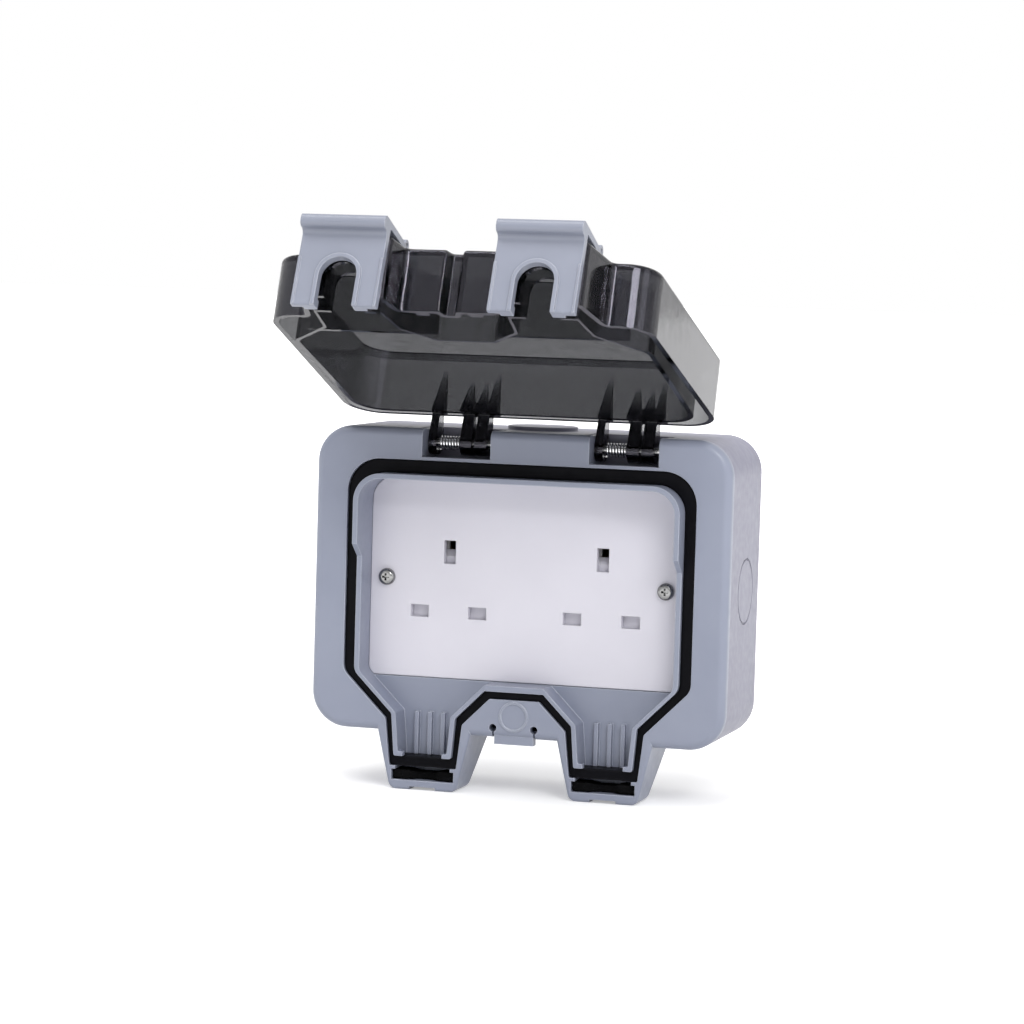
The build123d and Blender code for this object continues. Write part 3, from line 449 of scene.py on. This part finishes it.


# The screws are the same zinc-plated steel as the pins, but at half their colour: painted shade, for
# the darker surroundings their heads mirror.
screw_metal = plated_metal(
    "screw_plated_steel",
    colour=(0.30, 0.30, 0.30), tarnish=(0.20, 0.20, 0.20), gloss=(0.14, 0.26), stretch=(1, 0.2, 1),
)
pin_metal = plated_metal(
    "pin_bright_steel",
    colour=(0.60, 0.60, 0.60), tarnish=(0.5, 0.5, 0.5), gloss=(0.15, 0.3), stretch=(0.1, 1, 1),
)
spring_metal = plated_metal(
    "spring_drawn_wire", colour=(0.95, 0.95, 0.96), tarnish=(0.8, 0.8, 0.82), gloss=(0.1, 0.22)
)
contact_metal = plated_metal(
    "contact_brass",
    colour=(0.62, 0.44, 0.19), tarnish=(0.42, 0.28, 0.12), gloss=(0.22, 0.4), stretch=(0.2, 1, 1),
)
dress(screw_metal, "base_screws", "terminal_screws")
dress(pin_metal, "hinge_pin_left", "hinge_pin_right", "latch_pin_left", "latch_pin_right")
dress(contact_metal, "screw_inserts", "live_busbar", "neutral_busbar", "earth_busbar")


# %% [markdown]
# ## Lid springs
# Each hinge pin carries a torsion spring of hard drawn wire that pushes the lid open. A winding
# machine wraps the wire round a mandrel and bends its leg last. Here one ring of wire is wound by
# the Screw modifier, and its last ring is drawn out into the leg, so the wire stays one closed tube.

# %% Tools for formed pieces
def pick(piece, test):
    """Go to edit mode with only the vertices selected whose places pass a test."""
    bpy.ops.object.mode_set(mode="EDIT")
    bpy.ops.mesh.select_mode(type="VERT")
    bpy.ops.mesh.select_all(action="DESELECT")
    bpy.ops.object.mode_set(mode="OBJECT")
    for vertex in piece.data.vertices:
        vertex.select = test(vertex.co)
    bpy.ops.object.mode_set(mode="EDIT")


def draw_out(way):
    """Extrude what is selected along a way."""
    bpy.ops.mesh.extrude_region_move(TRANSFORM_OT_translate={"value": way})


def finish_piece(piece, node, material, angle=40, turn_out=True):
    """Settle normals, shading, finish and body of a piece that stands for a CAD node."""
    if turn_out:
        bpy.ops.object.mode_set(mode="EDIT")
        bpy.ops.mesh.select_all(action="SELECT")
        bpy.ops.mesh.normals_make_consistent(inside=False)
        bpy.ops.object.mode_set(mode="OBJECT")
    bpy.ops.object.shade_smooth_by_angle(angle=math.radians(angle))
    piece.data.materials.append(material)
    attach(piece, "enclosure")
    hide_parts(node)
    print(piece.name, "made with", len(piece.data.polygons), "faces")


# %% Tools for wound wire
wire_sides = 12
steps_per_turn = 32
hair = 1e-6


def wind_wire(name, start, out, wire, turns, rise, axis):
    """Wind a round wire: a ring at start plus out is turned about one axis and drawn along it."""
    bpy.ops.object.select_all(action="DESELECT")
    bpy.ops.mesh.primitive_circle_add(
        vertices=wire_sides, radius=wire / 2, location=start, rotation=(math.pi / 2, 0, 0)
    )
    coil = bpy.context.object
    coil.name = name
    bpy.ops.object.transform_apply(location=False, rotation=True, scale=True)
    bpy.ops.object.mode_set(mode="EDIT")
    bpy.ops.mesh.select_all(action="SELECT")
    bpy.ops.transform.translate(value=out)
    bpy.ops.object.mode_set(mode="OBJECT")
    winding = coil.modifiers.new("winding", "SCREW")
    winding.axis = axis
    winding.angle = turns * math.tau
    winding.screw_offset = rise
    winding.steps = steps_per_turn * turns
    winding.render_steps = steps_per_turn * turns
    bpy.ops.object.modifier_apply(modifier="winding")
    bpy.ops.object.transform_apply(location=True)
    return coil


def pick_wire_end(coil, middle, out, wire, axis, end):
    """Select the ring of wire where a coil along one axis starts or ends."""
    along = "XYZ".index(axis)

    def in_end_ring(place):
        on_seam = abs(place.y - middle.y) < hair and (place - middle).dot(out) > 0
        return on_seam and abs(place[along] - end) < 0.51 * wire

    pick(coil, in_end_ring)


print("wire has", wire_sides, "sides and", steps_per_turn, "steps a turn")

# %% Wind the lid springs
lid_wire = 0.0007
lid_turns = 7
bay_floor_drop = 0.005
leg_run = 0.0016
leg_bend = math.radians(50)
bend_steps = 5
bend_radius = 0.001
tip_lift = 0.7 * lid_wire
for side in ("left", "right"):
    low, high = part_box("lid_spring_" + side)
    middle = (low + high) / 2
    first_x, last_x = low.x + lid_wire / 2, high.x - lid_wire / 2
    coil_radius = (high.z - low.z - lid_wire) / 2
    coil_start = Vector((first_x, middle.y, middle.z))
    coil_out = Vector((0, 0, -coil_radius))
    spring = wind_wire(
        "wound_spring_" + side, coil_start, coil_out, lid_wire, lid_turns, last_x - first_x, "X"
    )
    # The near end is cut off square, the far end runs back, bends and lands on the bay's floor.
    pick_wire_end(spring, middle, coil_out, lid_wire, "X", first_x)
    bpy.ops.mesh.edge_face_add()
    pick_wire_end(spring, middle, coil_out, lid_wire, "X", last_x)
    draw_out((0, leg_run, 0))
    leg_end = Vector((last_x, middle.y + leg_run, middle.z - coil_radius))
    step_bend = leg_bend / bend_steps
    for step in range(bend_steps):
        heading = step_bend * (step + 0.5)
        stride = bend_radius * step_bend
        move = Vector((0, stride * math.cos(heading), -stride * math.sin(heading)))
        draw_out(move)
        leg_end += move
        bpy.ops.transform.rotate(value=step_bend, orient_axis="X", center_override=leg_end)
    fall = leg_end.z - (middle.z - bay_floor_drop) - tip_lift
    draw_out((0, fall / math.tan(leg_bend), -fall))
    bpy.ops.mesh.edge_face_add()
    finish_piece(spring, "lid_spring_" + side, spring_metal)

# %% [markdown]
# ## Shutter springs
# Behind the plate a small coil under each shutter lifts it back over the live and neutral slots.
# It is wound the same way about an upright axis. When a plug pushes its shutter down, the coil
# closes up.

# %% Wind the shutter springs
shutter_wire = 0.0004
shutter_turns = 5
for side in ("left", "right"):
    low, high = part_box("shutter_spring_" + side)
    middle = (low + high) / 2
    first_z, last_z = low.z + shutter_wire / 2, high.z - shutter_wire / 2
    coil_start = Vector((middle.x, middle.y, first_z))
    coil_out = Vector(((high.x - low.x - shutter_wire) / 2, 0, 0))
    spring = wind_wire(
        "wound_shutter_spring_" + side,
        coil_start, coil_out, shutter_wire, shutter_turns, last_z - first_z, "Z",
    )
    for end in (first_z, last_z):
        pick_wire_end(spring, middle, coil_out, shutter_wire, "Z", end)
        bpy.ops.mesh.edge_face_add()
    finish_piece(spring, "shutter_spring_" + side, spring_metal)
    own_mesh(spring)

# %% [markdown]
# ## Plate screws
# The plate is held by two pan head screws with a cross recess. A real head is pressed from wire:
# the punch rounds the rim and drives the tapered cross in. The head starts as a disc whose front rim
# is beveled into the pan, a tapered cross is cut out of it, and the shank is drawn out of its back.

# %% Form the plate screws
screws_low, screws_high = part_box("faceplate_screws")
head_radius = (screws_high.z - screws_low.z) / 2
head_height = 0.0022
head_sides = 48
pan_round = 0.0015
pan_steps = 8
shank_radius = 0.00175
tip_length = 0.0015
tip_share = 0.45
head_back = screws_low.y + head_height
screw_place = Vector((screws_low.x + head_radius, screws_low.y + head_height / 2, 0))
bpy.ops.object.select_all(action="DESELECT")
bpy.ops.mesh.primitive_cylinder_add(
    vertices=head_sides, radius=head_radius, depth=head_height,
    location=screw_place, rotation=(math.pi / 2, 0, 0),
)
screw = bpy.context.object
screw.name = "plate_screw_left"
bpy.ops.object.transform_apply(location=True, rotation=True, scale=True)
pick(screw, lambda place: place.y < screw_place.y)
bpy.ops.mesh.bevel(
    offset=pan_round, segments=pan_steps, profile=0.5, affect="EDGES", clamp_overlap=True
)
pick(screw, lambda place: place.y > head_back - hair)
bpy.ops.mesh.inset(thickness=head_radius - shank_radius)
draw_out((0, screws_high.y - head_back - tip_length, 0))
draw_out((0, tip_length, 0))
bpy.ops.transform.resize(
    value=(tip_share, 1, tip_share), center_override=(screw_place.x, screws_high.y, 0)
)
bpy.ops.object.mode_set(mode="OBJECT")
print("screw head", round(2000 * head_radius, 1), "mm across")

# %% Cut the cross recess
cross_size = (0.0036, 0.0034, 0.0009)
cross_taper = (0.5, 1, 0.7)
cross_place = (screw_place.x, screws_low.y, 0)
bpy.ops.object.select_all(action="DESELECT")
bpy.ops.mesh.primitive_cube_add(size=1, location=cross_place, scale=cross_size)
cross = bpy.context.object
bpy.ops.object.transform_apply(location=True, rotation=True, scale=True)
pick(cross, lambda place: place.y > screws_low.y)
bpy.ops.transform.resize(value=cross_taper, center_override=cross_place)
bpy.ops.mesh.select_all(action="SELECT")
bpy.ops.mesh.duplicate()
bpy.ops.transform.rotate(value=math.pi / 2, orient_axis="Y", center_override=cross_place)
bpy.ops.object.mode_set(mode="OBJECT")
recess = screw.modifiers.new("recess", "BOOLEAN")
recess.operation = "DIFFERENCE"
recess.solver = "EXACT"
recess.use_self = True
recess.object = cross


def only(piece):
    """Select one piece alone and make it the active one."""
    bpy.ops.object.select_all(action="DESELECT")
    piece.select_set(True)
    bpy.context.view_layer.objects.active = piece


only(screw)
bpy.ops.object.modifier_apply(modifier="recess")
bpy.data.objects.remove(cross)
print("recess cut,", len(screw.data.polygons), "faces")

# %% Copy the screw to the other side
screw_angle = 35
bpy.ops.object.duplicate()
second_screw = bpy.context.object
second_screw.name = "plate_screw_right"
bpy.ops.transform.translate(value=(screws_high.x - screws_low.x - 2 * head_radius, 0, 0))
bpy.ops.object.transform_apply(location=True, rotation=True, scale=True)
for piece in (screw, second_screw):
    only(piece)
    finish_piece(piece, "faceplate_screws", screw_metal, screw_angle)

# %% [markdown]
# ## Cable foam
# Below each channel a block of open foam is squeezed round the cable. It is cut from a sheet, so
# its faces are torn and porous, and years of being pressed leave a hollow in its middle. The block
# is subdivided, its middle is pushed in softly, and a fine displacement tears its skin. Its faces
# point outwards from the start, and the torn skin would mislead a recalculation, so none is made.

# %% Shape the foam blocks
pores = bpy.data.textures.new("foam_pores", "CLOUDS")
pores.noise_scale = 0.0011
pores.noise_depth = 3
pores.contrast = 1.4
foam_round = 0.0004
foam_cuts = 23
skin = 0.0002
tear_depth = 0.0005
foam_angle = 70


def push_softly(way, reach):
    """Move what is selected and draw its neighbours within reach along."""
    bpy.ops.transform.translate(
        value=way, use_proportional_edit=True,
        proportional_edit_falloff="SMOOTH", proportional_size=reach,
    )


for side in ("left", "right"):
    low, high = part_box("cable_seal_" + side)
    middle = (low + high) / 2
    bpy.ops.object.select_all(action="DESELECT")
    bpy.ops.mesh.primitive_cube_add(size=1, location=middle, scale=high - low)
    foam = bpy.context.object
    foam.name = "foam_block_" + side
    bpy.ops.object.transform_apply(location=True, rotation=True, scale=True)
    bpy.ops.object.mode_set(mode="EDIT")
    bpy.ops.mesh.select_all(action="SELECT")
    bpy.ops.mesh.bevel(offset=foam_round, segments=2, affect="EDGES")
    bpy.ops.mesh.select_all(action="SELECT")
    bpy.ops.mesh.subdivide(number_cuts=foam_cuts)
    pick(foam, lambda place: abs(place.x - middle.x) < 0.0022 and place.y < low.y + skin)
    push_softly((0, 0.0026, 0), reach=0.0045)
    pick(foam, lambda place: abs(place.x - middle.x) < 0.003 and place.z > high.z - skin)
    push_softly((0, 0, -0.0007), reach=0.004)
    bpy.ops.object.mode_set(mode="OBJECT")
    torn = foam.modifiers.new("torn", "DISPLACE")
    torn.texture = pores
    torn.texture_coords = "LOCAL"
    torn.strength = tear_depth
    torn.mid_level = 1.0
    bpy.ops.object.modifier_apply(modifier="torn")
    finish_piece(
        foam, "cable_seal_" + side, cable_foam, foam_angle, turn_out=False
    )
